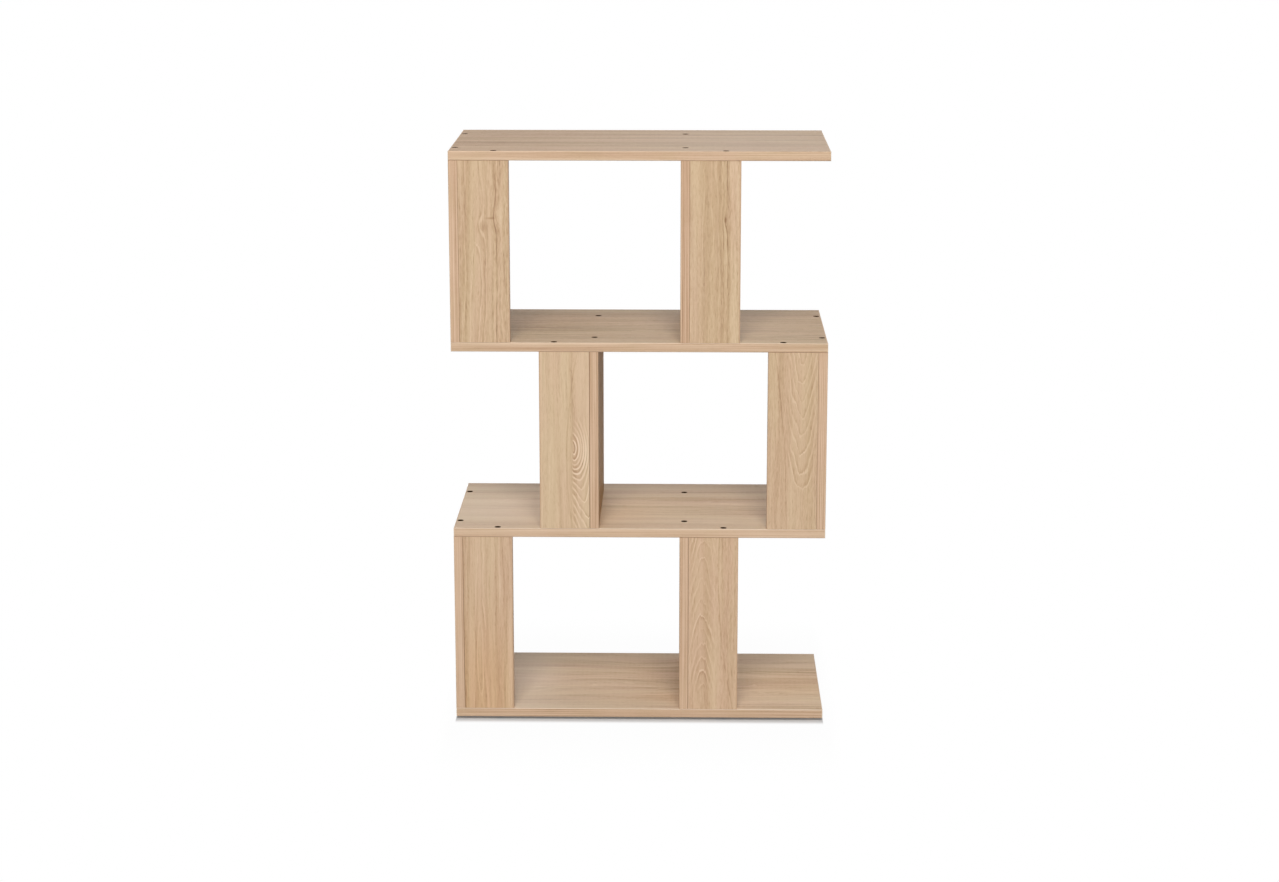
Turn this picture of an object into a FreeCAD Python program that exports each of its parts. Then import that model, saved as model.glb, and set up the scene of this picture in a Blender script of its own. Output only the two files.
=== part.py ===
import FreeCAD, Part
import math
import os

Vector = FreeCAD.Vector

# A zigzag bookshelf of melamine-faced boards, in millimetres, with +Z up and its front towards -Y.
# The origin is on the floor under the middle of the shelves.

# Boards
WIDTH = 600.0             # a shelf, end to end
DEPTH = 300.0             # a shelf, front to back
BOARD = 15.0              # thickness of every board
TIER_HEIGHT = 290.0       # clear height between two shelves
RETURN_WIDTH = 80.0       # a post's front panel, from the side panel's face to its free edge
OVERHANG = 140.0          # free length of shelf beyond the inner post
SIDE_SETBACK = 30.0       # a side panel's back edge stands this far short of the shelves' back edge

# Edge bands
BAND = 1.8                # thickness of the plastic strip glued on a board's edge
BAND_FLAT = 0.2           # what is left square of that thickness beside the rounded arris

# Shelf screws, with a flat head and a hexagon socket
SCREW_LENGTH = 50.0       # from the head's top to the point
SHANK_DIAMETER = 5.0
COLLAR_STEP = 1.0         # the plain collar stands out from the shank all round
HEAD_LIP = 1.5            # the head stands out from the collar all round
HEAD_HEIGHT = 3.5
HEAD_SINK = 0.3           # the head's top lies this far below the shelf's face
SOCKET_WIDTH = 4.0        # across the hexagon's flats
SOCKET_DEPTH = 2.4
POINT_LENGTH = 4.0
POINT_DIAMETER = 2.0
SCREW_FIT = 0.2           # radial gap between a screw and its hole
TIP_ROOM = 2.0            # a blind hole runs this far past what it holds
FRONT_SCREW_INSET = 48.0  # front screw of a side panel, from the shelf's front
BACK_SCREW_INSET = 30.0   # back screw of a side panel, from the panel's back edge
RETURN_SCREW_INSET = 24.0 # screw of a return panel, from the panel's free edge

# Wooden dowels between a return panel's edge and the side panel's face
DOWEL_DIAMETER = 6.0
DOWEL_LENGTH = 30.0
DOWEL_FACE_DEPTH = 9.0    # how deep a dowel sits in the side panel's face
DOWEL_END_ROOM = 1.0
DOWEL_CHAMFER = 0.8
DOWEL_FIT = 0.1
DOWEL_INSET = 65.0        # outermost dowels, from a post's ends
DOWELS_PER_POST = 3

# Nail-on glides under the base
GLIDE_DIAMETER = 20.0
GLIDE_HEIGHT = 5.0
GLIDE_ROUND = 1.2
GLIDE_INSET = 30.0        # a glide's centre, from the base's two nearest edges
NAIL_DIAMETER = 2.0
NAIL_LENGTH = 12.0        # from the head's underside in the glide to the point
NAIL_HEAD_LIP = 1.5       # the head stands out from the nail all round
NAIL_HEAD_HEIGHT = 0.8
NAIL_RECESS = 0.5         # the head lies this far above the floor
NAIL_POINT = 2.5
NAIL_FIT = 0.1

SHELVES = ("base_shelf", "lower_shelf", "upper_shelf", "top_shelf")
TIERS = ("bottom", "middle", "top")

FRONT = -DEPTH / 2
BACK = DEPTH / 2
SIDE_BACK = BACK - SIDE_SETBACK
POST_START = {"end": 0.0, "inner": WIDTH - OVERHANG - RETURN_WIDTH - BOARD}

SHANK_RADIUS = SHANK_DIAMETER / 2
COLLAR_RADIUS = SHANK_RADIUS + COLLAR_STEP
HEAD_RADIUS = COLLAR_RADIUS + HEAD_LIP
NAIL_RADIUS = NAIL_DIAMETER / 2
NAIL_HEAD_RADIUS = NAIL_RADIUS + NAIL_HEAD_LIP
NAIL_SEAT = NAIL_RECESS + NAIL_HEAD_HEIGHT

X_AXIS = Vector(1, 0, 0)
Y_AXIS = Vector(0, 1, 0)
Z_AXIS = Vector(0, 0, 1)


def shelf_span(level):
    """Underside and top of a shelf, counted up from the base."""
    underside = GLIDE_HEIGHT + level * (BOARD + TIER_HEIGHT)
    return underside, underside + BOARD


def tier_span(tier):
    """Lower and upper ends of a tier's posts."""
    return shelf_span(tier)[1], shelf_span(tier + 1)[0]


def hand(tier):
    """The way from a tier's end post to its overhang: the middle tier runs the other way."""
    return -1 if tier == TIERS.index("middle") else 1


def across(tier, distance):
    """X of a place measured along the shelf from the end where the tier's end post stands."""
    return hand(tier) * (distance - WIDTH / 2)


def block(x, y, z):
    """A box between three pairs of limits, each in either order."""
    corner = Vector(min(x), min(y), min(z))
    return Part.makeBox(max(x) - min(x), max(y) - min(y), max(z) - min(z), corner)


def bored(solid, tools):
    """A solid with its holes cut."""
    return solid.cut(tools).Solids[0]


def rounded(band, outward, runs):
    """A band with the arrises of its outer face rounded, where they run along the given axes."""
    outer = max(band.Faces, key=lambda face: face.CenterOfMass.dot(outward))
    arrises = []
    for edge in outer.Edges:
        run = edge.Vertexes[1].Point - edge.Vertexes[0].Point
        if any(abs(run.dot(axis)) > run.Length / 2 for axis in runs):
            arrises.append(edge)
    return band.makeFillet(BAND - BAND_FLAT, arrises)


def turned(profile, foot, axis):
    """A solid turned from (radius, height) points, standing at its foot along an axis."""
    points = [Vector(radius, 0, height) for radius, height in profile]
    outline = Part.makePolygon(points + points[:1])
    solid = Part.Face(outline).revolve(Vector(0, 0, 0), Z_AXIS, 360)
    solid.Placement = FreeCAD.Placement(foot, FreeCAD.Rotation(Z_AXIS, axis))
    return solid


def write(name, solids):
    """One file for a piece, or for a group of like pieces."""
    shape = solids[0] if len(solids) == 1 else Part.makeCompound(solids)
    shape.exportStep(os.path.join("parts", name + ".step"))


def screw(place, axis):
    """A shelf screw whose hole opens at a place on a shelf's face."""
    collar_end = BOARD - HEAD_SINK
    body = turned(
        [
            (0, 0),
            (HEAD_RADIUS, 0),
            (HEAD_RADIUS, HEAD_HEIGHT),
            (COLLAR_RADIUS, HEAD_HEIGHT),
            (COLLAR_RADIUS, collar_end),
            (SHANK_RADIUS, collar_end),
            (SHANK_RADIUS, SCREW_LENGTH - POINT_LENGTH),
            (POINT_DIAMETER / 2, SCREW_LENGTH),
            (0, SCREW_LENGTH),
        ],
        place + axis * HEAD_SINK,
        axis,
    )
    corner_radius = SOCKET_WIDTH / 2 / math.cos(math.pi / 6)
    corners = []
    for corner in range(6):
        angle = corner * math.pi / 3
        corners.append(Vector(corner_radius * math.cos(angle), corner_radius * math.sin(angle), 0))
    hexagon = Part.Face(Part.makePolygon(corners + corners[:1]))
    hexagon.translate(place + axis * HEAD_SINK)
    return bored(body, [hexagon.extrude(axis * SOCKET_DEPTH)])


def screw_hole(place, axis):
    """The stepped hole that a screw needs in a shelf and in the panel behind it."""
    seat = HEAD_SINK + HEAD_HEIGHT
    bottom = HEAD_SINK + SCREW_LENGTH + TIP_ROOM
    return turned(
        [
            (0, 0),
            (HEAD_RADIUS + SCREW_FIT, 0),
            (HEAD_RADIUS + SCREW_FIT, seat),
            (COLLAR_RADIUS + SCREW_FIT, seat),
            (COLLAR_RADIUS + SCREW_FIT, BOARD),
            (SHANK_RADIUS + SCREW_FIT, BOARD),
            (SHANK_RADIUS + SCREW_FIT, bottom),
            (0, bottom),
        ],
        place,
        axis,
    )


def dowel(place, axis):
    """A chamfered dowel, standing on the bottom of its hole in the side panel."""
    radius = DOWEL_DIAMETER / 2
    return turned(
        [
            (0, 0),
            (radius - DOWEL_CHAMFER, 0),
            (radius, DOWEL_CHAMFER),
            (radius, DOWEL_LENGTH - DOWEL_CHAMFER),
            (radius - DOWEL_CHAMFER, DOWEL_LENGTH),
            (0, DOWEL_LENGTH),
        ],
        place,
        axis,
    )


def dowel_hole(place, axis):
    """The room for a dowel in both panels."""
    radius = DOWEL_DIAMETER / 2 + DOWEL_FIT
    return Part.makeCylinder(radius, DOWEL_LENGTH + DOWEL_END_ROOM, place, axis)


def glide(place):
    """A round plastic glide with a sunk seat for its nail's head."""
    disc = Part.makeCylinder(GLIDE_DIAMETER / 2, GLIDE_HEIGHT, place)
    underside = min(disc.Faces, key=lambda face: face.CenterOfMass.z)
    disc = disc.makeFillet(GLIDE_ROUND, underside.Edges)
    seat = Part.makeCylinder(NAIL_HEAD_RADIUS + NAIL_FIT, NAIL_SEAT, place)
    eye = Part.makeCylinder(NAIL_RADIUS + NAIL_FIT, GLIDE_HEIGHT, place)
    return bored(disc, [seat, eye])


def nail(place):
    """A glide's nail, head down."""
    end = NAIL_HEAD_HEIGHT + NAIL_LENGTH
    return turned(
        [
            (0, 0),
            (NAIL_HEAD_RADIUS, 0),
            (NAIL_HEAD_RADIUS, NAIL_HEAD_HEIGHT),
            (NAIL_RADIUS, NAIL_HEAD_HEIGHT),
            (NAIL_RADIUS, end - NAIL_POINT),
            (0, end),
        ],
        place + Z_AXIS * NAIL_RECESS,
        Z_AXIS,
    )


def nail_hole(place):
    """A nail's hole in the base."""
    return Part.makeCylinder(NAIL_RADIUS + NAIL_FIT, NAIL_SEAT + NAIL_LENGTH + TIP_ROOM, place)


def screw_places(tier, post):
    """Where a post's screws stand in plan: two for its side panel and one for its return."""
    start = POST_START[post]
    side = across(tier, start + BOARD / 2)
    free_edge = start + BOARD + RETURN_WIDTH
    return {
        "side": [(side, FRONT + FRONT_SCREW_INSET), (side, SIDE_BACK - BACK_SCREW_INSET)],
        "return": [(across(tier, free_edge - RETURN_SCREW_INSET), FRONT + BOARD / 2)],
    }


def dowel_places(tier, post):
    """Where a post's dowels start, on the bottoms of their holes in the side panel."""
    x = across(tier, POST_START[post] + BOARD - DOWEL_FACE_DEPTH)
    low, high = tier_span(tier)
    low += DOWEL_INSET
    high -= DOWEL_INSET
    step = (high - low) / max(1, DOWELS_PER_POST - 1)
    return [Vector(x, FRONT + BOARD / 2, low + index * step) for index in range(DOWELS_PER_POST)]


def side_panel(tier, post, tools):
    """A post's side panel, with bands on its front and back edges."""
    start = POST_START[post]
    x = (across(tier, start), across(tier, start + BOARD))
    z = tier_span(tier)
    front_band = rounded(block(x, (FRONT, FRONT + BAND), z), -Y_AXIS, [Z_AXIS])
    back_band = rounded(block(x, (SIDE_BACK - BAND, SIDE_BACK), z), Y_AXIS, [Z_AXIS])
    name = TIERS[tier] + "_" + post + "_side"
    write(name + "_panel", [bored(block(x, (FRONT + BAND, SIDE_BACK - BAND), z), tools)])
    write(name + "_bands", [bored(band, tools) for band in (front_band, back_band)])


def return_panel(tier, post, tools):
    """A post's narrow front panel, with a band on its free edge."""
    inner = POST_START[post] + BOARD
    free_edge = inner + RETURN_WIDTH
    y = (FRONT, FRONT + BOARD)
    z = tier_span(tier)
    core_x = (across(tier, inner), across(tier, free_edge - BAND))
    band_x = (across(tier, free_edge - BAND), across(tier, free_edge))
    band = rounded(block(band_x, y, z), X_AXIS * hand(tier), [Z_AXIS])
    name = TIERS[tier] + "_" + post + "_return"
    write(name + "_panel", [bored(block(core_x, y, z), tools)])
    write(name + "_band", [bored(band, tools)])


def shelf(level, tools):
    """A shelf, with bands on all four edges: the long ones cover the ends of the short ones."""
    z = shelf_span(level)
    half = WIDTH / 2
    bands = []
    for side in (-1, 1):
        long_y = (side * (BACK - BAND), side * BACK)
        long_band = block((-half, half), long_y, z)
        bands.append(rounded(long_band, Y_AXIS * side, [X_AXIS, Z_AXIS]))
        end_x = (side * (half - BAND), side * half)
        end_band = block(end_x, (FRONT + BAND, BACK - BAND), z)
        bands.append(rounded(end_band, X_AXIS * side, [Y_AXIS]))
    core = block((BAND - half, half - BAND), (FRONT + BAND, BACK - BAND), z)
    write(SHELVES[level], [bored(core, tools)])
    write(SHELVES[level] + "_bands", [bored(band, tools) for band in bands])


os.makedirs("parts", exist_ok=True)
shelf_tools = [[] for level in SHELVES]

for tier, tier_name in enumerate(TIERS):
    # A tier's screws come down through the shelf above it and up through the shelf below it.
    seats = {
        "upper": (tier + 1, shelf_span(tier + 1)[1], -Z_AXIS),
        "lower": (tier, shelf_span(tier)[0], Z_AXIS),
    }
    screws = {"upper": [], "lower": []}
    dowels = []
    for post in POST_START:
        panel_tools = {"side": [], "return": []}
        for panel, places in screw_places(tier, post).items():
            for end, (level, face, axis) in seats.items():
                for x, y in places:
                    place = Vector(x, y, face)
                    hole = screw_hole(place, axis)
                    panel_tools[panel].append(hole)
                    shelf_tools[level].append(hole)
                    screws[end].append(screw(place, axis))
        dowel_axis = X_AXIS * hand(tier)
        for place in dowel_places(tier, post):
            dowels.append(dowel(place, dowel_axis))
            for panel in panel_tools:
                panel_tools[panel].append(dowel_hole(place, dowel_axis))
        side_panel(tier, post, panel_tools["side"])
        return_panel(tier, post, panel_tools["return"])
    write(tier_name + "_tier_upper_screws", screws["upper"])
    write(tier_name + "_tier_lower_screws", screws["lower"])
    write(tier_name + "_tier_dowels", dowels)

glide_x = WIDTH / 2 - GLIDE_INSET
glide_y = DEPTH / 2 - GLIDE_INSET
feet = [Vector(x, y, 0) for x in (-glide_x, glide_x) for y in (-glide_y, glide_y)]
write("base_glides", [glide(foot) for foot in feet])
write("glide_nails", [nail(foot) for foot in feet])
shelf_tools[0].extend(nail_hole(foot) for foot in feet)

for level, tools in enumerate(shelf_tools):
    shelf(level, tools)
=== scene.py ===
import math
from collections import namedtuple

import bmesh
import bpy
from mathutils import Matrix, Vector


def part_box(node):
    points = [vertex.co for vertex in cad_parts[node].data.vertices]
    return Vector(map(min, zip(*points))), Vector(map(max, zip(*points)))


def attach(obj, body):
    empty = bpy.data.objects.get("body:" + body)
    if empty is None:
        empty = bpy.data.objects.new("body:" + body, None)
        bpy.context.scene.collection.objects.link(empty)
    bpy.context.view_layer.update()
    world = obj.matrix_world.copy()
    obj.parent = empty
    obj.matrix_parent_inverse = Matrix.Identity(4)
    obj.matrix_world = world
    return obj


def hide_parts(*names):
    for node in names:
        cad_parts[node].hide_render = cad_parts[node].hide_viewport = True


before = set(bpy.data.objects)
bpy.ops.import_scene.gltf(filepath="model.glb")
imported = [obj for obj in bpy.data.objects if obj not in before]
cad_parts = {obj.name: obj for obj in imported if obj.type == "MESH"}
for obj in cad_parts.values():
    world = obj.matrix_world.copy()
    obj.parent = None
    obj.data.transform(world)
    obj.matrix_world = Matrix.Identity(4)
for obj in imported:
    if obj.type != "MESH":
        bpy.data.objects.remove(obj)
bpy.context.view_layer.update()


# Glides: four round feet of dark brown plastic under the base, moulded with a flat sole and a rounded rim.
# They hold the base just off the floor, which leaves the thin dark line seen under it.
class Strand:
    """One socket of a finish's node tree. Arithmetic on strands adds Math nodes to that tree."""

    def __init__(self, tree, socket=None):
        self.tree = tree
        self.socket = socket

    def node(self, kind, settings=(), inputs=(), output=0):
        """Adds a node: its settings first, then the values or links of its sockets."""
        made = self.tree.nodes.new(kind)
        for name, value in dict(settings).items():
            if name == "stops":
                ramp = made.color_ramp.elements
                ramp[0].position, ramp[0].color = value[0]
                ramp[1].position, ramp[1].color = value[-1]
                for position, colour in value[1:-1]:
                    ramp.new(position).color = colour
            else:
                setattr(made, name, value)
        for key, value in dict(inputs).items():
            if isinstance(value, Strand):
                self.tree.links.new(value.socket, made.inputs[key])
            else:
                made.inputs[key].default_value = value
        return Strand(self.tree, made.outputs[output] if len(made.outputs) else None)

    def math(self, operation, *others):
        return self.node("ShaderNodeMath", {"operation": operation}, enumerate((self, *others)))

    def __add__(self, other):
        return self.math("ADD", other)

    def __sub__(self, other):
        return self.math("SUBTRACT", other)

    def __rsub__(self, other):
        return self.node("ShaderNodeMath", {"operation": "SUBTRACT"}, {0: other, 1: self})

    def __mul__(self, other):
        return self.math("MULTIPLY", other)

    def __truediv__(self, other):
        return self.math("DIVIDE", other)

    def __pow__(self, other):
        return self.math("POWER", other)

    __radd__ = __add__
    __rmul__ = __mul__

    def axes(self):
        """The three numbers of a vector."""
        split = self.node("ShaderNodeSeparateXYZ", inputs={0: self})
        return [Strand(self.tree, socket) for socket in split.socket.node.outputs]

    def rise(self, low, high):
        """Goes smoothly from 0 at low to 1 at high."""
        ends = {"Value": self, "From Min": low, "From Max": high}
        return self.node("ShaderNodeMapRange", {"interpolation_type": "SMOOTHSTEP"}, ends)

    def blend(self, first, second, way="MIX"):
        """A colour that goes from the first to the second as this strand goes from 0 to 1."""
        settings = {"data_type": "RGBA", "blend_type": way}
        factor, first_colour, second_colour, result = 0, 6, 7, 2
        colours = {factor: self, first_colour: first, second_colour: second}
        return self.node("ShaderNodeMix", settings, colours, output=result)

    def speckle(self, size, detail=2.0, roughness=0.5):
        """Noise on this vector, from 0 to 1; size gives the length of its features along X, Y and Z."""
        scale = tuple(1.0 / length for length in size)
        spread = self.node("ShaderNodeVectorMath", {"operation": "MULTIPLY"}, {0: self, 1: scale})
        return self.node("ShaderNodeTexNoise", {}, {
            "Vector": spread, "Scale": 1.0, "Detail": detail, "Roughness": roughness})


def shade(red, green, blue):
    """A colour read off a screen, from 0 to 255, as the light that a shader works in."""
    light = [((part / 255 + 0.055) / 1.055) ** 2.4 for part in (red, green, blue)]
    return (*light, 1.0)


def begin_finish(name):
    """An empty material, and the strand of places on the piece from which its pattern is drawn."""
    material = bpy.data.materials.new(name)
    material.use_nodes = True
    material.node_tree.nodes.clear()
    return material, Strand(material.node_tree).node("ShaderNodeTexCoord", output="Object")


def end_finish(place, surface):
    """Lays the pattern on the surface shader, whose sockets are given by name."""
    shader = place.node("ShaderNodeBsdfPrincipled", inputs=surface)
    place.node("ShaderNodeOutputMaterial", inputs={"Surface": shader})


def moulded_plastic():
    material, place = begin_finish("moulded_brown_plastic")
    cloud = place.speckle((0.006, 0.006, 0.006), 3.0)
    pitting = place.speckle((0.0004, 0.0004, 0.0004), 1.0)
    scuffs = place.speckle((0.0003, 0.006, 0.006), 2.0).rise(0.58, 0.74)
    colour = (cloud.rise(0.3, 0.7) * 0.7 + scuffs * 0.3).blend(shade(50, 38, 30), shade(76, 61, 50))
    roughness = 0.40 + 0.2 * cloud + 0.1 * scuffs
    relief = place.node("ShaderNodeBump", {}, {"Strength": 0.25, "Distance": 0.0001, "Height": pitting})
    end_finish(place, {"Base Color": colour, "Roughness": roughness, "Normal": relief})
    return material


def lathe(shape, outline, steps):
    """Turns an outline of (radius, height) points round the upright axis."""
    points = [shape.verts.new((radius, 0.0, height)) for radius, height in outline]
    lines = [shape.edges.new(pair) for pair in zip(points, points[1:])]
    bmesh.ops.spin(
        shape, geom=points + lines, cent=(0, 0, 0), axis=(0, 0, 1), dvec=(0, 0, 0), angle=2 * math.pi,
        steps=steps, use_merge=True)
    bmesh.ops.remove_doubles(shape, verts=shape.verts, dist=0.000001)
    bmesh.ops.recalc_face_normals(shape, faces=shape.faces)


def ease_rim(shape, radius, height, width):
    """Rounds over the ring of edges at one radius and height."""
    near = 0.00001
    rim = []
    for edge in shape.edges:
        if all(abs(end.co.xy.length - radius) < near and abs(end.co.z - height) < near for end in edge.verts):
            rim.append(edge)
    bmesh.ops.bevel(
        shape, geom=rim, offset=width, offset_type="OFFSET", affect="EDGES", segments=4, profile=0.5,
        material=-1)


def repeat(shape, places):
    """Copies a shape to each place, and takes away the one that it is copied from."""
    first = shape.verts[:] + shape.edges[:] + shape.faces[:]
    pattern = shape.verts[:]
    for place in places:
        copy = bmesh.ops.duplicate(shape, geom=first)["geom"]
        moved = [part for part in copy if isinstance(part, bmesh.types.BMVert)]
        bmesh.ops.transform(shape, matrix=place, verts=moved)
    bmesh.ops.delete(shape, geom=pattern, context="VERTS")


def settle(shape, node, finish):
    """Makes a modelled shape the piece that stands for a CAD node."""
    mesh = bpy.data.meshes.new(node + "_turned")
    shape.to_mesh(mesh)
    shape.free()
    mesh.shade_smooth()
    mesh.set_sharp_from_angle(angle=math.radians(32))
    mesh.materials.append(finish)
    piece = bpy.data.objects.new(node + "_turned", mesh)
    bpy.context.scene.collection.objects.link(piece)
    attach(piece, "root")
    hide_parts(node)


GLIDE_RADIUS = 0.010
GLIDE_HEIGHT = 0.005
GLIDE_EASE = 0.0012
NAIL_BORE = 0.0011
POCKET_RADIUS = 0.0026
POCKET_DEPTH = 0.0013
POCKET_EASE = 0.0003
GROOVE_INSIDE = 0.0056
GROOVE_OUTSIDE = 0.0064
GROOVE_DEPTH = 0.0002
glide_low, glide_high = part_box("base_glides")
feet = []
for x in (glide_low.x + GLIDE_RADIUS, glide_high.x - GLIDE_RADIUS):
    for y in (glide_low.y + GLIDE_RADIUS, glide_high.y - GLIDE_RADIUS):
        feet.append(Matrix.Translation((x, y, 0.0)))

glide = bmesh.new()
lathe(glide, [
    (NAIL_BORE, GLIDE_HEIGHT), (NAIL_BORE, POCKET_DEPTH), (POCKET_RADIUS, POCKET_DEPTH),
    (POCKET_RADIUS, POCKET_EASE), (POCKET_RADIUS + POCKET_EASE, 0.0),
    (GROOVE_INSIDE, 0.0), (GROOVE_INSIDE + GROOVE_DEPTH, GROOVE_DEPTH),
    (GROOVE_OUTSIDE - GROOVE_DEPTH, GROOVE_DEPTH), (GROOVE_OUTSIDE, 0.0),
    (GLIDE_RADIUS, 0.0), (GLIDE_RADIUS, GLIDE_HEIGHT), (NAIL_BORE, GLIDE_HEIGHT)], 48)
ease_rim(glide, GLIDE_RADIUS, 0.0, GLIDE_EASE)
repeat(glide, feet)
settle(glide, "base_glides", moulded_plastic())


# Glide nails: zinc-plated wire nails, one driven through each glide into the base. The flat head lies sunk in
# the pocket of the glide's sole, so that it can't scratch the floor.
def zinc_plate():
    material, place = begin_finish("zinc_plated_steel")
    cloud = place.speckle((0.0015, 0.0015, 0.0015), 3.0)
    colour = cloud.rise(0.3, 0.7).blend(shade(150, 150, 152), shade(190, 190, 188))
    end_finish(place, {"Base Color": colour, "Metallic": 1.0, "Roughness": 0.28 + 0.2 * cloud})
    return material


NAIL_RADIUS = 0.0010
NAIL_SHANK_END = 0.0108
NAIL_TIP = 0.0133
NAIL_HEAD_RADIUS = 0.0025
NAIL_HEAD_SINK = 0.0005
NAIL_HEAD_EASE = 0.0004
nail = bmesh.new()
lathe(nail, [
    (0.0, NAIL_HEAD_SINK), (NAIL_HEAD_RADIUS, NAIL_HEAD_SINK), (NAIL_HEAD_RADIUS, POCKET_DEPTH),
    (NAIL_RADIUS, POCKET_DEPTH), (NAIL_RADIUS, NAIL_SHANK_END), (0.0, NAIL_TIP)], 24)
ease_rim(nail, NAIL_HEAD_RADIUS, NAIL_HEAD_SINK, NAIL_HEAD_EASE)
repeat(nail, feet)
settle(nail, "glide_nails", zinc_plate())


# Shelves: four like boards of 15 mm particleboard, faced above and below with melamine paper printed as pale
# oak. The grain runs along the shelf, and the bored screw holes show the raw particleboard.
def dress(node, material):
    """Gives a piece that keeps its CAD shape its finish."""
    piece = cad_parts[node]
    piece.data.materials.clear()
    piece.data.materials.append(material)


def particleboard(place):
    """The wall of a drilled hole: flat chips and dust pressed in brown resin, painted dark as the shade
    inside the hole.
    """
    chips = place.speckle((0.0022, 0.0022, 0.0009), 3.0, 0.6)
    return place.node("ShaderNodeValToRGB", {"stops": [
        (0.3, shade(58, 40, 26)), (0.5, shade(92, 66, 44)), (0.72, shade(128, 98, 68))]}, {0: chips})


def grey(level):
    """A grey of which a shader sends back this share of the light."""
    return (level, level, level, 1.0)


Vein = namedtuple("Vein", "side half deep curve turning", defaults=(0.0, 0.0))
KnotOrShade = namedtuple("KnotOrShade", "across along wide long push bend dark", defaults=(0.0, 0.0, 0.0))
Patch = namedtuple("Patch", "across along wide long strength")
SHEET = 0.004


def oak_print(
        place, turn, start, heart, blunt, ring, taper, spread, contrast, veins, lean=0.0, opens=-1.0,
        closes=10.0, wild=1.0, coarse=1.0, straight=1.0, banded=1.0, flecked=1.0, lift=0.0, knots=(),
        warm=()):
    """Tone of the printed oak, from dark 0 to pale 1, with its hue, warmth, fibres and pores.

    The turn brings X across the grain and Y along it, and start is the print's zero. Starts that lie more
    than a SHEET apart in Z give other prints. The arched figure stands on the heart, a line that leans,
    between the heights where it opens and closes. Blunt rounds its arches, ring sets them apart, taper draws
    them out, wild makes them uneven, spread is how far they reach and contrast how strong they are. A vein is
    a dark line, by its side, half width, depth of tone, curve and turning point, and the first one bounds the
    figure. Straight is the strength of the plain grain, coarse widens it, and banded and flecked set its
    broad bands and short flecks. A knot entry has its place, its reach across and along, the rings that it
    pushes aside, how far it bends the lines and how dark its middle is. A narrow one that is only dark is a
    dark mark in the print; a wide one that is only dark is painted shade, and where its darkness is negative
    it is painted light. A tint patch has its place, its reach and its strength: positive is an amber tint in
    the print, and negative is an ashen patch of painted sheen. Lift makes the whole print paler."""
    grain = place.node("ShaderNodeMapping", {}, {"Vector": place, "Rotation": turn, "Location": start})
    plain_across, along, through = grain.axes()
    wander = grain.speckle((0.030, 0.150, SHEET), 1.0) - 0.5
    ripple = grain.speckle((0.006, 0.040, SHEET), 2.0) - 0.5
    across = plain_across + wander * 0.006 + ripple * 0.0020

    aside = across - heart - lean * along
    reach = (aside ** 2.0 + blunt ** 2) ** 0.5
    phase = (reach + along * taper) / ring + (wander * 1.6 + ripple * 0.5) * wild
    slope = aside / reach / ring
    climb = taper / ring - lean * slope
    bent = across
    knot_marks_and_shade = 0.0
    for knot in knots:
        off_side = (plain_across - knot.across) / knot.wide
        off_end = (along - knot.along) / knot.long
        swell = (-1.0 * (off_side ** 2.0 + off_end ** 2.0)).math("EXPONENT")
        if knot.push:
            phase = phase + swell * knot.push
            slope = slope - off_side * swell * (2.0 * knot.push / knot.wide)
            climb = climb - off_end * swell * (2.0 * knot.push / knot.long)
        if knot.bend:
            bent = bent + swell * knot.bend
        # Wide entries that are only dark add painted shade here, or painted light where the darkness is
        # negative.
        if knot.dark:
            knot_marks_and_shade = knot_marks_and_shade + swell ** 6.0 * knot.dark

    count = phase.math("CEIL")
    shown = place.node("ShaderNodeTexWhiteNoise", {"noise_dimensions": "1D"}, {"W": count})
    inside = (count - phase) / (slope ** 2.0 + climb ** 2.0) ** 0.5
    rings = place.node("ShaderNodeValToRGB", {"stops": [
        (0.0, grey(0.70)), (0.07, grey(1.0)), (0.20, grey(0.90)), (0.34, grey(0.16)), (0.60, grey(0.30)),
        (1.0, grey(0.50))]}, {0: inside / (0.010 * coarse)})
    faint = grain.speckle((0.020, 0.060, SHEET), 1.0).rise(0.35, 0.65)

    drawn = place.node("ShaderNodeCombineXYZ", {}, {0: bent, 1: along, 2: through})
    bands = drawn.speckle((0.014 * coarse, 0.600, SHEET), 1.0) - 0.5
    streaks = drawn.speckle((0.0034 * coarse, 0.160, SHEET), 3.0, 0.62) - 0.5
    flecks = drawn.speckle((0.0012, 0.012, SHEET), 1.0) - 0.5
    fibres = drawn.speckle((0.0005, 0.022, SHEET), 2.0, 0.6)
    pores = drawn.speckle((0.0006, 0.0080, SHEET), 0.0).rise(0.60, 0.70)

    from_vein = [bent - vein.side - vein.curve * (along - vein.turning) ** 2.0 for vein in veins]
    figured = (1.0 - from_vein[0].rise(-0.003, 0.002)) * along.rise(opens - 0.02, opens + 0.02)
    figured = figured * (1.0 - aside.math("ABSOLUTE").rise(spread / 2, spread))
    figured = figured * (1.0 - along.rise(closes - 0.03, closes + 0.03))
    plain = bands * (0.30 * banded) + (streaks * 0.46 + flecks * (0.30 * flecked)) * (1.0 - 0.5 * figured)
    tone = 0.5 + lift + straight * plain + (fibres - 0.5) * 0.14
    tone = tone + (rings - 0.5) * figured * (0.4 + 0.8 * shown) * (0.45 + 0.75 * faint) * contrast
    for distance, vein in zip(from_vein, veins):
        line = 1.0 - distance.math("ABSOLUTE").rise(0.0, vein.half)
        tone = tone - line * (0.35 + 0.65 * faint) * vein.deep
    tone = tone - knot_marks_and_shade - pores * 0.10

    hue = drawn.speckle((0.018 * coarse, 0.260, SHEET), 2.0)
    warmth = streaks * 0.2
    # Tint patches: positive ones are amber print, negative ones are ashen painted sheen.
    for patch in warm:
        off_side = (across - patch.across) / patch.wide
        off_end = (along - patch.along) / patch.long
        warmth = warmth + (-1.0 * (off_side ** 2.0 + off_end ** 2.0)).math("EXPONENT") * patch.strength
    return tone, hue, warmth, fibres, pores


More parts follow.
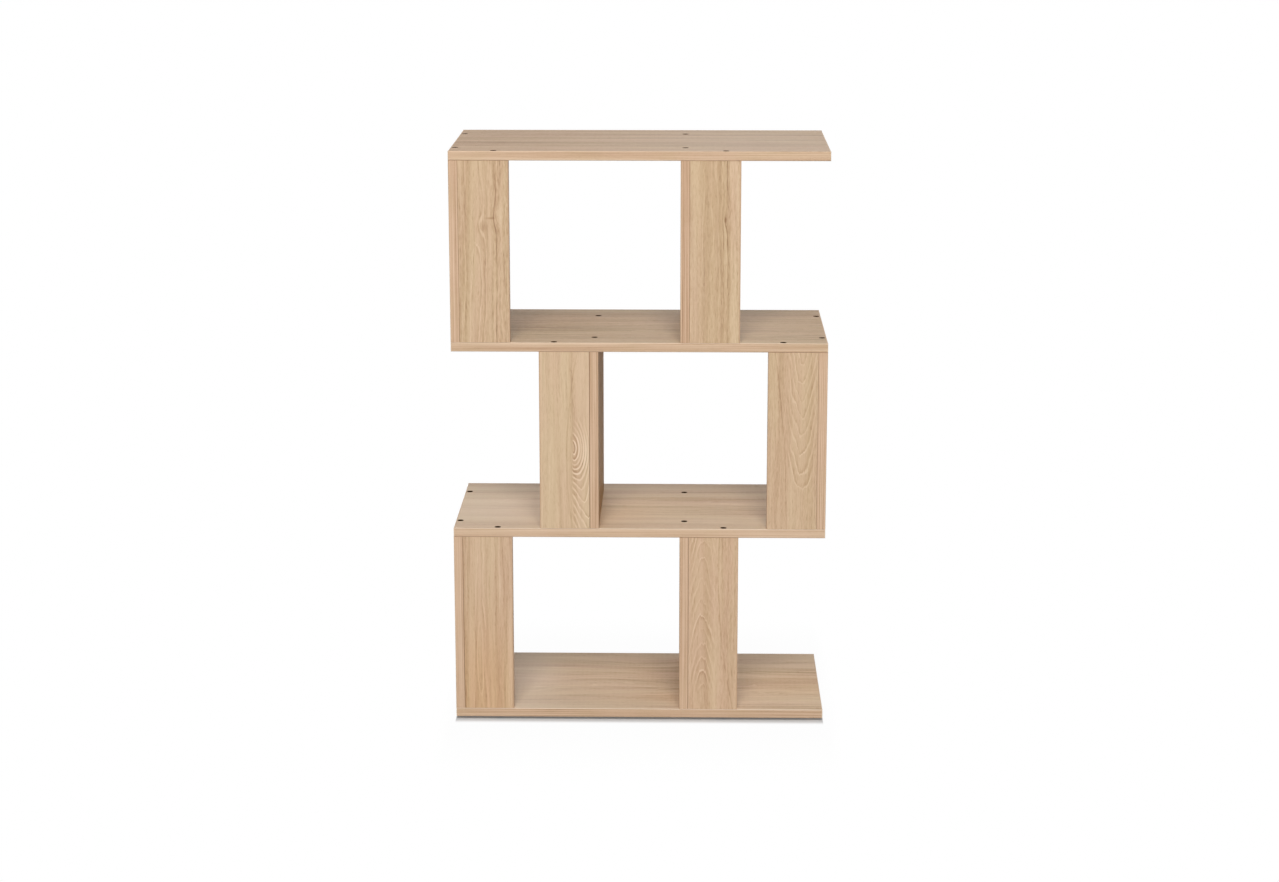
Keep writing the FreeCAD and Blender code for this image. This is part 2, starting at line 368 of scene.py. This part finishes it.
def oak_colour(place, tone, hue, warmth, blush=0.0):
    """The print's inks: brown to pale straw, drifting to rose, amber and ash. Ash is partly print, following
    the streaks, and partly painted sheen in the shelves' ashen patches. Blush makes them all rosier.
    """
    inks = []
    for rosy in (blush, blush + 3.5):
        inks.append(place.node("ShaderNodeValToRGB", {"stops": [
            (0.0, shade(140, 105 - rosy, 70)), (0.3, shade(188, 157 - rosy, 121)),
            (0.5, shade(207, 180 - rosy, 145)), (0.7, shade(217, 192 - rosy, 158)),
            (1.0, shade(230, 208 - rosy, 178))]}, {0: tone}))
    ground = hue.rise(0.3, 0.7).blend(*inks)
    amber = (1.0, 0.93, 0.82, 1.0)
    ambered = warmth.blend(ground, amber, "MULTIPLY")
    return (-1.0 * warmth).blend(ambered, shade(222, 208, 194))


def melamine_surface(place, colour, tone, fibres, pores, dull=0.0, gloss=0.5):
    """Pressed melamine: satin, with the print's fibres and pores faintly embossed.

    Dull is added where it is rubbed. Gloss is how strongly it mirrors: 0.5 is usual, and near 0 is matt."""
    relief = place.node("ShaderNodeBump", {}, {
        "Strength": 0.35, "Distance": 0.0001, "Height": fibres - pores})
    end_finish(place, {
        "Base Color": colour, "Roughness": 0.52 - 0.10 * tone + 0.1 * pores + dull, "Normal": relief,
        "Specular IOR Level": gloss})


def shelf_melamine(node, start, blush=0.0, **figure):
    """A shelf's faces are printed; the walls of its holes are bare."""
    material, place = begin_finish(node + "_melamine")
    tone, hue, warmth, fibres, pores = oak_print(
        place, (0, 0, math.pi / 2), start, blunt=0.030, ring=0.014, spread=0.120, contrast=0.22,
        coarse=2.0, flecked=0.5, **figure)
    facing = place.node("ShaderNodeNewGeometry", output="Normal").axes()[2].math("ABSOLUTE")
    colour = facing.rise(0.4, 0.6).blend(particleboard(place), oak_colour(place, tone, hue, warmth, blush))
    melamine_surface(place, colour, tone, fibres, pores)
    return material


# On each shelf, every wide knot entry that is only dark is painted shade, and one with a negative darkness is
# painted light; each tint patch with a negative strength is painted sheen. Narrow knot entries, veins and
# amber patches are print.
dress("base_shelf", shelf_melamine(
    "base_shelf", (0.0, 0.0, 0.0), heart=0.020, taper=0.06, straight=1.7, banded=1.4, lift=0.05,
    veins=[
        Vein(0.085, half=0.003, deep=0.20, curve=0.10),
        Vein(0.045, half=0.004, deep=0.14, curve=-0.20, turning=0.1),
        Vein(-0.095, half=0.006, deep=0.08),
        Vein(0.008, half=0.003, deep=0.16, curve=0.50, turning=-0.075)],
    knots=[
        KnotOrShade(0.052, -0.125, 0.012, 0.036, push=1.0, bend=0.008, dark=0.10),
        KnotOrShade(0.060, 0.215, 0.014, 0.045, push=1.6, bend=0.012, dark=0.10),
        KnotOrShade(0.000, -0.060, 0.035, 0.070, bend=0.012),
        KnotOrShade(-0.090, 0.010, 0.040, 0.080, bend=-0.016),
        KnotOrShade(-0.020, 0.045, 0.330, 0.140, dark=0.12),
        KnotOrShade(-0.040, -0.205, 0.500, 0.120, dark=-0.18),
        KnotOrShade(-0.010, 0.020, 0.120, 1.000, dark=0.06),
        KnotOrShade(0.000, 0.270, 0.500, 0.250, dark=0.03)],
    warm=[
        Patch(0.090, 0.045, 0.020, 0.060, 0.7),
        Patch(0.030, 0.280, 0.060, 0.090, 0.6),
        Patch(-0.100, 0.040, 0.060, 0.140, 0.5),
        Patch(0.130, -0.140, 0.040, 0.110, -0.12),
        Patch(-0.020, -0.195, 0.200, 0.060, -0.28)]))
dress("lower_shelf", shelf_melamine(
    "lower_shelf", (0.0, 0.0, 0.2), heart=-0.030, taper=-0.05, straight=0.95, banded=2.6, lift=0.11,
    veins=[
        Vein(0.060, half=0.003, deep=0.14, curve=-0.08, turning=0.1),
        Vein(0.105, half=0.006, deep=0.08)],
    knots=[
        KnotOrShade(-0.040, 0.165, 0.330, 0.220, dark=0.07),
        KnotOrShade(-0.080, 0.040, 0.220, 0.500, dark=0.06),
        KnotOrShade(0.000, -0.260, 0.500, 0.170, dark=-0.03),
        KnotOrShade(-0.040, 0.060, 0.110, 0.500, dark=0.06)],
    warm=[
        Patch(0.060, -0.030, 0.070, 0.060, 0.6),
        Patch(0.030, -0.240, 0.160, 0.120, -0.24)]))
dress("upper_shelf", shelf_melamine(
    "upper_shelf", (0.0, 0.0, 0.44), blush=-3.0, heart=0.050, taper=0.04, straight=0.75, banded=2.0,
    lift=-0.17,
    veins=[
        Vein(0.110, half=0.003, deep=0.12, curve=0.06, turning=-0.1),
        Vein(-0.040, half=0.006, deep=0.06)],
    knots=[
        KnotOrShade(-0.030, -0.190, 0.500, 0.320, dark=0.11),
        KnotOrShade(-0.035, 0.050, 0.120, 1.500, dark=0.08),
        KnotOrShade(0.150, 0.000, 0.090, 1.500, dark=-0.08),
        KnotOrShade(0.000, 0.270, 0.500, 0.250, dark=0.05)],
    warm=[Patch(0.050, 0.130, 0.250, 0.200, -0.16)]))
dress("top_shelf", shelf_melamine(
    "top_shelf", (0.0, 0.0, 0.6), heart=-0.010, taper=-0.04, straight=1.1, banded=1.3, lift=-0.19,
    veins=[
        Vein(0.070, half=0.003, deep=0.16, curve=0.05, turning=0.1),
        Vein(-0.070, half=0.006, deep=0.08)],
    knots=[KnotOrShade(0.000, -0.230, 0.600, 0.400, dark=0.06)],
    warm=[Patch(0.060, 0.200, 0.250, 0.280, -0.20)]))


# Shelf edge bands: 1.8 mm strips with the same print, glued round each board and rounded over at their edges.
# Their grain is fine and straight, because the strip is cut along it.
def band_print(name, start, upright, lift=0.0, wear_and_painted_light=0.8, joint=0.0):
    """Edge band finish for strips that lie flat round a shelf, or stand upright on a post.

    The rubbed argument sets how strongly the arris takes its edge colour. On flat bands that colour is pale
    and
    lies only on the arris that faces up: part wear, part painted highlight. On upright bands it is a little
    darker than the print: painted shade in the arris. Joint is the strength of painted shade on the arris
    that faces the return panel, where the groove between them lies, with the sign of the side on which that
    stands."""
    material, place = begin_finish(name)
    side, deep, up = place.axes()
    across, along = (side + deep, up) if upright else (up, side + deep)
    grain = place.node("ShaderNodeCombineXYZ", {}, {0: across, 1: along, 2: start})
    lines = grain.speckle((0.0015, 0.500, 1.0), 1.0) - 0.5
    streaks = grain.speckle((0.0012, 0.120, 1.0), 2.0, 0.65) - 0.5
    drift = grain.speckle((0.040, 0.090, 1.0), 2.0)
    fibres = grain.speckle((0.0005, 0.016, 1.0), 2.0, 0.6)
    pores = grain.speckle((0.0004, 0.0060, 1.0), 0.0).rise(0.62, 0.74)
    tone = 0.46 + lift + lines * 1.05 + streaks * 0.50 + (drift - 0.5) * 0.20
    tone = tone + (fibres - 0.5) * 0.15 - pores * 0.06
    normal = place.node("ShaderNodeNewGeometry", output="Normal").axes()
    square = normal[0] ** 4.0 + normal[1] ** 4.0 + normal[2] ** 4.0
    # Only arrises that do not face down take the edge colour. On flat bands it is pale, part wear and part
    # painted highlight; on upright bands it is a little darker than the print, painted shade in the arris.
    rounded = (1.0 - square).rise(0.08, 0.40) * normal[2].rise(-0.6, -0.1)
    worn = shade(198, 168, 136) if upright else shade(226, 208, 186)
    # On upright bands the arris that faces the return panel darkens further: painted shade in the joint
    # groove.
    if joint:
        joint_shade = (normal[0] * math.copysign(1.0, joint)).rise(0.2, 0.6) * abs(joint)
        worn = joint_shade.blend(worn, shade(120, 88, 62))
    warmth = streaks * 0.1 + (0.10 if upright else -0.02)
    printed = oak_colour(place, tone, drift + 0.15, warmth, blush=2.0 if upright else 1.0)
    colour = (rounded * wear_and_painted_light).blend(printed, worn)
    melamine_surface(place, colour, tone, fibres, pores, dull=rounded * 0.35)
    return material


# On each shelf band the pale upper arris is part wear, part painted highlight, set weaker on the higher
# shelves.
dress("base_shelf_bands", band_print("base_shelf_band", 0.0, upright=False, lift=-0.02, wear_and_painted_light=0.9))
dress("lower_shelf_bands", band_print("lower_shelf_band", 10.0, upright=False, lift=0.08, wear_and_painted_light=0.8))
dress("upper_shelf_bands", band_print("upper_shelf_band", 20.0, upright=False, lift=0.03, wear_and_painted_light=0.5))
dress("top_shelf_bands", band_print("top_shelf_band", 30.0, upright=False, lift=0.02, wear_and_painted_light=0.1))


# Side panels: one board in each post, standing front to back between two shelves. The same printed board
# with upright grain and a matt face. Its front and back edges are banded, and the front one shows as a
# narrow strip.
def post_melamine(name, turn, start, blush=0.0, gloss=0.5, **figure):
    material, place = begin_finish(name)
    tone, hue, warmth, fibres, pores = oak_print(place, turn, start, **figure)
    colour = oak_colour(place, tone, hue, warmth, blush)
    melamine_surface(place, colour, tone, fibres, pores, gloss=gloss)
    return material


SIDE_GLOSS = 0.005
PRINT_STEP = 0.2
BAND_STEP = 10.0
side_panels = {
    "bottom_end": {"heart": 0.045, "taper": 0.10, "lift": 0.02},
    "bottom_inner": {"heart": -0.035, "taper": -0.07, "lift": -0.02},
    "middle_end": {"heart": 0.000, "taper": 0.12, "lift": 0.00},
    # The middle inner panel's print is set darker than the others as painted shade, so that its narrow inner
    # face, which lies in shade between the posts, shows darker.
    "middle_inner": {"heart": -0.025, "taper": 0.10, "lift": -0.09},
    "top_end": {"heart": -0.060, "taper": -0.08, "lift": 0.01},
    "top_inner": {"heart": 0.030, "taper": -0.09, "lift": -0.03}}
# Joint sets painted shade on each strip's arris beside its return panel, where the groove between them lies.
side_bands = {
    "bottom_end": {"lift": 0.06, "joint": 0.5},
    "bottom_inner": {"lift": 0.07, "joint": 0.5},
    "middle_end": {"lift": 0.06, "joint": -0.2},
    "middle_inner": {"lift": 0.01, "joint": -0.9},
    "top_end": {"lift": 0.00, "joint": 0.15},
    "top_inner": {"lift": -0.09, "joint": 0.1}}
for number, (post, figure) in enumerate(side_panels.items()):
    tiers_below = number // 2
    dress(post + "_side_panel", post_melamine(
        post + "_side_melamine", (-math.pi / 2, -math.pi / 2, 0), (0.0, 0.0, 1.0 + PRINT_STEP * number),
        gloss=SIDE_GLOSS, blunt=0.025, ring=0.007, spread=0.070, contrast=0.22,
        veins=[
            Vein(0.070, half=0.002, deep=0.18, curve=0.10, turning=0.15 + 0.3 * tiers_below),
            Vein(-0.085, half=0.006, deep=0.07)],
        **figure))
    dress(post + "_side_bands", band_print(
        post + "_side_band", 40.0 + BAND_STEP * number, upright=True, **side_bands[post]))


# Dowels: fluted beech pins, three in each post, glued part into the side panel's face and part into the
# return's edge. Nothing of them shows once the post is closed.
def beech():
    material, place = begin_finish("fluted_beech")
    grain = place.speckle((0.05, 0.0008, 0.0008), 2.0)
    flecks = place.speckle((0.0025, 0.0004, 0.0004), 0.0).rise(0.62, 0.72)
    colour = (grain * 0.8 + flecks * 0.3).rise(0.2, 0.9).blend(shade(222, 192, 152), shade(190, 150, 108))
    end_finish(place, {"Base Color": colour, "Roughness": 0.6 + 0.1 * grain})
    return material


TIERS = ("bottom", "middle", "top")
POSTS = ("end", "inner")
DOWEL_RADIUS = 0.003
DOWEL_LENGTH = 0.030
DOWEL_DEPTH = 0.009
DOWEL_INSET = 0.065
DOWEL_CHAMFER = 0.0008
DOWEL_STEPS = 36
STEPS_PER_FLUTE = 3
FLUTE_SHARE = 0.93
dowel_finish = beech()
for tier in TIERS:
    way = -1 if tier == "middle" else 1
    dowel = bmesh.new()
    lathe(dowel, [
        (0.0, 0.0), (DOWEL_RADIUS - DOWEL_CHAMFER, 0.0), (DOWEL_RADIUS, DOWEL_CHAMFER),
        (DOWEL_RADIUS, DOWEL_LENGTH - DOWEL_CHAMFER), (DOWEL_RADIUS - DOWEL_CHAMFER, DOWEL_LENGTH),
        (0.0, DOWEL_LENGTH)], DOWEL_STEPS)
    for point in dowel.verts:
        step = round(math.atan2(point.co.y, point.co.x) / (2 * math.pi) * DOWEL_STEPS)
        if step % STEPS_PER_FLUTE == 0:
            point.co.xy *= FLUTE_SHARE
    laid = Matrix.Rotation(way * math.pi / 2, 4, "Y")
    places = []
    for post in POSTS:
        low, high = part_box(f"{tier}_{post}_side_panel")
        joint = high.x if way > 0 else low.x
        return_low, return_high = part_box(f"{tier}_{post}_return_panel")
        depth = (return_low.y + return_high.y) / 2
        for height in (low.z + DOWEL_INSET, (low.z + high.z) / 2, high.z - DOWEL_INSET):
            places.append(Matrix.Translation((joint - way * DOWEL_DEPTH, depth, height)) @ laid)
    repeat(dowel, places)
    settle(dowel, tier + "_tier_dowels", dowel_finish)


# Return panels: the narrow board in the front of each post, butted against the side panel's face. The print
# shows an arched figure beside the joint, a dark vein past it and plain grain out to the banded free edge.
arches_up = {
    "heart": 0.0235, "blunt": 0.040, "ring": 0.0030, "taper": 0.105, "spread": 0.024, "contrast": 0.46,
    "opens": 0.040, "wild": 1.7, "straight": 1.25, "lift": 0.01, "blush": 2.0,
    "veins": [
        Vein(0.0477, half=0.0016, deep=0.22, curve=0.48, turning=0.225),
        Vein(0.0050, half=0.0030, deep=0.06)],
    "knots": [KnotOrShade(0.0235, 0.045, 0.018, 0.055, push=-1.2)],
    "warm": [Patch(0.040, 0.145, 0.300, 0.500, 0.12)]}
arches_down = {
    "heart": 0.0253, "blunt": 0.035, "ring": 0.0036, "taper": 0.115, "spread": 0.027, "contrast": 0.50,
    "closes": 0.220, "wild": 1.7, "straight": 1.15, "lift": -0.03,
    "veins": [
        Vein(0.0480, half=0.0016, deep=0.20, curve=0.26, turning=0.290),
        Vein(0.0060, half=0.0022, deep=0.10, curve=0.06, turning=0.290)],
    "knots": [KnotOrShade(0.0253, 0.250, 0.018, 0.040, push=1.0)]}
swirl = {
    "heart": 0.0648, "lean": -0.235, "blunt": 0.010, "ring": 0.0075, "taper": 0.24, "spread": 0.040,
    "contrast": 0.74, "opens": 0.120, "straight": 1.35, "flecked": 0.5, "lift": 0.055,
    "veins": [
        Vein(0.0270, half=0.0010, deep=0.0),
        Vein(0.0365, half=0.0016, deep=0.16, curve=-0.60, turning=0.170)],
    "knots": [KnotOrShade(0.0250, 0.160, 0.024, 0.042, push=-5.0)]}
spindle = {
    "heart": 0.026, "blunt": 0.012, "ring": 0.0060, "taper": 0.020, "spread": 0.030, "contrast": 0.30,
    "straight": 2.1, "flecked": 0.3, "lift": -0.02, "blush": 1.5,
    "veins": [
        Vein(0.0580, half=0.0050, deep=0.10, curve=0.05),
        Vein(0.0285, half=0.0060, deep=0.08)],
    "knots": [KnotOrShade(0.026, 0.088, 0.006, 0.060, push=-1.3)],
    "warm": [Patch(0.030, 0.030, 0.060, 0.120, 1.1)]}
end_streak = {
    "heart": 0.026, "blunt": 0.014, "ring": 0.0080, "taper": 0.010, "spread": 0.036, "contrast": 0.30,
    "straight": 1.8, "lift": -0.06,
    "veins": [
        Vein(0.0595, half=0.0016, deep=0.28),
        Vein(0.0255, half=0.0060, deep=0.08),
        Vein(0.0040, half=0.0024, deep=-0.12)],
    "knots": [
        KnotOrShade(0.0585, 0.201, 0.010, 0.020, push=0.4, bend=0.0045),
        KnotOrShade(0.0505, 0.199, 0.016, 0.004, dark=0.26),
        KnotOrShade(0.0390, 0.185, 0.020, 0.020, push=0.6, dark=0.15)]}
inner_streak = {
    "heart": 0.026, "blunt": 0.014, "ring": 0.0080, "taper": 0.010, "spread": 0.030, "contrast": 0.14,
    "straight": 1.45, "lift": -0.045,
    "veins": [
        Vein(0.0588, half=0.0016, deep=0.30),
        Vein(0.0528, half=0.0012, deep=0.12)],
    "knots": [
        KnotOrShade(0.0560, 0.197, 0.006, 0.016, push=0.6, bend=0.0036),
        KnotOrShade(0.0555, 0.197, 0.0030, 0.010, dark=0.40)]}
return_panels = {
    "bottom_end": spindle, "bottom_inner": arches_up, "middle_end": arches_down, "middle_inner": swirl,
    "top_end": end_streak, "top_inner": inner_streak}
for number, (post, figure) in enumerate(return_panels.items()):
    low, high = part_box(post + "_return_panel")
    layer = 2.0 + PRINT_STEP * number
    if post.startswith("middle"):
        turn = (-math.pi / 2, 0, math.pi)
        start = (high.x, high.z, layer)
    else:
        turn = (-math.pi / 2, 0, 0)
        start = (-low.x, -low.z, layer)
    dress(post + "_return_panel", post_melamine(post + "_return_melamine", turn, start, **figure))
    dress(post + "_return_band", band_print(post + "_return_band", 100.0 + BAND_STEP * number, upright=True))


# Shelf screws: hex-socket screws of dull dark brown steel with a coarse thread, in counterbores that leave
# their heads almost flush with the shelf. Three hold each end of a post: two on the side panel's centre line
# and one in the return.
def bronzed_steel():
    material, place = begin_finish("bronzed_steel")
    cloud = place.speckle((0.0012, 0.0012, 0.0012), 3.0)
    worn = place.speckle((0.0005, 0.0005, 0.0005), 2.0).rise(0.60, 0.75)
    colour = (cloud.rise(0.3, 0.7) * 0.7 + worn * 0.3).blend(shade(30, 14, 4), shade(54, 30, 13))
    end_finish(place, {"Base Color": colour, "Roughness": 0.70 + 0.2 * cloud, "Specular IOR Level": 0.0})
    return material


HEAD_RADIUS = 0.0050
HEAD_HEIGHT = 0.0035
HEAD_EASE = 0.0005
HEAD_UNDERCUT = 0.0004
COLLAR_RADIUS = 0.0035
COLLAR_END = 0.0143
COLLAR_TAPER = 0.0004
SHANK_RADIUS = 0.0025
SCREW_LENGTH = 0.050
POINT_LENGTH = 0.004
POINT_RADIUS = 0.001
POINT_TIP = 0.0002
SOCKET_WIDTH = 0.004
SOCKET_DEPTH = 0.0024
SOCKET_EASE = 0.0004
THREAD_RADIUS = 0.0033
THREAD_ROOT = 0.0022
THREAD_START = 0.0152
THREAD_WIDTH = 0.0012
THREAD_PITCH = 0.003
THREAD_TURNS = 9
STEPS_PER_TURN = 24
FRONT_INSET = 0.048
BACK_INSET = 0.030
RETURN_INSET = 0.024


def shelf_screw():
    """A screw that hangs from its head, whose top is at zero."""
    screw = bmesh.new()
    socket_corner = SOCKET_WIDTH / math.sqrt(3)
    lathe(screw, [
        (socket_corner + SOCKET_EASE, 0.0), (HEAD_RADIUS, 0.0), (HEAD_RADIUS, HEAD_UNDERCUT - HEAD_HEIGHT),
        (COLLAR_RADIUS, -HEAD_HEIGHT), (COLLAR_RADIUS, -COLLAR_END),
        (SHANK_RADIUS, -COLLAR_END - COLLAR_TAPER), (SHANK_RADIUS, POINT_LENGTH - SCREW_LENGTH),
        (POINT_RADIUS, POINT_TIP - SCREW_LENGTH), (0.0, -SCREW_LENGTH)], 48)
    ease_rim(screw, HEAD_RADIUS, 0.0, HEAD_EASE)

    mouth = [edge for edge in screw.edges if edge.is_boundary]
    for depth in (0.0, -SOCKET_DEPTH):
        wall = bmesh.ops.extrude_edge_only(screw, edges=mouth)["geom"]
        ring = [part for part in wall if isinstance(part, bmesh.types.BMVert)]
        mouth = [part for part in wall if isinstance(part, bmesh.types.BMEdge) and part.is_boundary]
        for point in ring:
            bearing = math.atan2(point.co.y, point.co.x)
            flat = (bearing + math.pi / 6) % (math.pi / 3) - math.pi / 6
            point.co.xy *= SOCKET_WIDTH / 2 / math.cos(flat) / point.co.xy.length
            point.co.z = depth
    bmesh.ops.edgeloop_fill(screw, edges=mouth)

    crest = [
        (THREAD_ROOT, -THREAD_START), (THREAD_RADIUS, -THREAD_START - THREAD_WIDTH / 2),
        (THREAD_ROOT, -THREAD_START - THREAD_WIDTH)]
    corners = [screw.verts.new((radius, 0.0, height)) for radius, height in crest]
    ridge = [screw.edges.new(pair) for pair in zip(corners, corners[1:] + corners[:1])]
    bmesh.ops.spin(
        screw, geom=corners + ridge, cent=(0, 0, 0), axis=(0, 0, 1),
        dvec=(0, 0, -THREAD_PITCH / STEPS_PER_TURN), angle=2 * math.pi * THREAD_TURNS,
        steps=STEPS_PER_TURN * THREAD_TURNS)
    bmesh.ops.holes_fill(screw, edges=[edge for edge in screw.edges if edge.is_boundary], sides=3)
    bmesh.ops.recalc_face_normals(screw, faces=screw.faces)
    return screw


screw_finish = bronzed_steel()
for tier in TIERS:
    for end in ("upper", "lower"):
        low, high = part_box(f"{tier}_tier_{end}_screws")
        if end == "upper":
            head = Matrix.Translation((0, 0, high.z))
        else:
            head = Matrix.Translation((0, 0, low.z)) @ Matrix.Rotation(math.pi, 4, "X")
        places = []
        for post in POSTS:
            side_low, side_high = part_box(f"{tier}_{post}_side_bands")
            return_low, return_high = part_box(f"{tier}_{post}_return_band")
            middle = (side_low.x + side_high.x) / 2
            if return_low.x < middle:
                in_return = return_low.x + RETURN_INSET
            else:
                in_return = return_high.x - RETURN_INSET
            places.append(Matrix.Translation((middle, side_low.y + FRONT_INSET, 0)) @ head)
            places.append(Matrix.Translation((middle, side_high.y - BACK_INSET, 0)) @ head)
            places.append(Matrix.Translation((in_return, (return_low.y + return_high.y) / 2, 0)) @ head)
        screw = shelf_screw()
        repeat(screw, places)
        settle(screw, f"{tier}_tier_{end}_screws", screw_finish)


# Studio: a wide white floor under a large soft lamp in front and above, with weak low ones behind and at the
# sides. The camera stands a few paces back, above the top shelf, and looks slightly down.
def looked_at(strand):
    """1 for rays that show what the camera sees, straight or in a mirror or glass, and 0 for other rays."""
    seen = strand.node("ShaderNodeLightPath", output="Is Camera Ray")
    for ray in ("Is Glossy Ray", "Is Transmission Ray"):
        seen = seen.math("MAXIMUM", strand.node("ShaderNodeLightPath", output=ray))
    return seen


HALF_WIDTH = 0.300
HALF_DEPTH = 0.150
SHADOW_REACH = 0.018
HAZE_REACH = 0.3
HAZE_SHARE = 0.03
SIDE_SQUEEZE = 10.0


def white_floor():
    """Matt white card. The camera sees it as plain white beyond a short reach of the base, whatever light
    falls there; nearer the base it sees the lit card with a faint even glow added, so the shadow there stays.
    """
    material, place = begin_finish("white_floor")
    side, deep = place.axes()[:2]
    beyond_side = (side.math("ABSOLUTE") - HALF_WIDTH).math("MAXIMUM", 0.0)
    beyond_deep = (deep.math("ABSOLUTE") - HALF_DEPTH).math("MAXIMUM", 0.0)
    away = ((SIDE_SQUEEZE * beyond_side) ** 2.0 + beyond_deep ** 2.0) ** 0.5
    plain = place.node("ShaderNodeBsdfDiffuse", {}, {"Color": grey(0.68)})
    card = place.node("ShaderNodeBsdfDiffuse", {}, {"Color": grey(0.55)})
    near = place.node("ShaderNodeEmission", {}, {"Color": grey(1.0), "Strength": 0.12})
    far = place.node("ShaderNodeEmission", {}, {"Color": grey(1.0), "Strength": 1.0})
    shadowed = place.node("ShaderNodeAddShader", {}, {0: card, 1: near})
    haze = HAZE_SHARE * away.rise(SHADOW_REACH, HAZE_REACH)
    clear = (1.0 - HAZE_SHARE) * away.rise(0.0, SHADOW_REACH) + haze
    lit = place.node("ShaderNodeMixShader", {}, {0: clear, 1: shadowed, 2: far})
    shader = place.node("ShaderNodeMixShader", {}, {0: looked_at(place), 1: plain, 2: lit})
    place.node("ShaderNodeOutputMaterial", inputs={"Surface": shader})
    return material


FLOOR_HALF_SIZE = 40.0
sheet = bmesh.new()
bmesh.ops.create_grid(sheet, x_segments=1, y_segments=1, size=FLOOR_HALF_SIZE)
floor_mesh = bpy.data.meshes.new("studio_floor")
sheet.to_mesh(floor_mesh)
sheet.free()
floor_mesh.materials.append(white_floor())
studio_floor = bpy.data.objects.new("studio_floor", floor_mesh)
bpy.context.scene.collection.objects.link(studio_floor)

room = bpy.data.worlds.new("white_room")
room.use_nodes = True
room.node_tree.nodes.clear()
bpy.context.scene.world = room
air = Strand(room.node_tree)
dim = air.node("ShaderNodeBackground", {}, {"Color": grey(1.0), "Strength": 0.10})
white = air.node("ShaderNodeBackground", {}, {"Color": grey(1.0), "Strength": 1.0})
air.node("ShaderNodeOutputWorld", inputs={
    "Surface": air.node("ShaderNodeMixShader", {}, {0: looked_at(air), 1: dim, 2: white})})


def soft_lamp(name, place, aim, size, power, mirrored=True):
    """A lamp behind a diffuser, turned towards a point. One that isn't mirrored leaves no glare."""
    lamp = bpy.data.lights.new(name, "AREA")
    lamp.shape = "RECTANGLE"
    lamp.size, lamp.size_y = size
    lamp.energy = power
    holder = bpy.data.objects.new(name, lamp)
    holder.visible_glossy = mirrored
    holder.location = place
    holder.rotation_euler = (Vector(aim) - Vector(place)).to_track_quat("-Z", "Y").to_euler()
    bpy.context.scene.collection.objects.link(holder)


soft_lamp("key_lamp", place=(0.0, -5.22, 5.28), aim=(0.0, 0.0, 0.45), size=(3.2, 3.4), power=460.0)
soft_lamp(
    "back_lamp", place=(-0.9, 4.8, 0.5), aim=(0.0, 0.0, 0.45), size=(0.9, 0.9), power=40.0, mirrored=False)
soft_lamp(
    "left_lamp", place=(-5.0, 0.3, 0.25), aim=(0.0, 0.3, 0.25), size=(0.8, 0.8), power=80.0, mirrored=False)
soft_lamp(
    "right_lamp", place=(5.0, 0.3, 0.25), aim=(0.0, 0.3, 0.25), size=(0.8, 0.8), power=80.0, mirrored=False)

eye = bpy.data.cameras.new("camera")
eye.sensor_width = 36.0
eye.lens = 74.07
eye.shift_y = -0.02
camera = bpy.data.objects.new("camera", eye)
camera.location = (0.0708, -4.2535, 1.4247)
tilt_down = 12.536
turn_left = 0.982
camera.rotation_euler = (math.radians(90 - tilt_down), 0.0, math.radians(turn_left))
bpy.context.scene.collection.objects.link(camera)
bpy.context.scene.camera = camera
bpy.context.scene.view_settings.view_transform = "Standard"
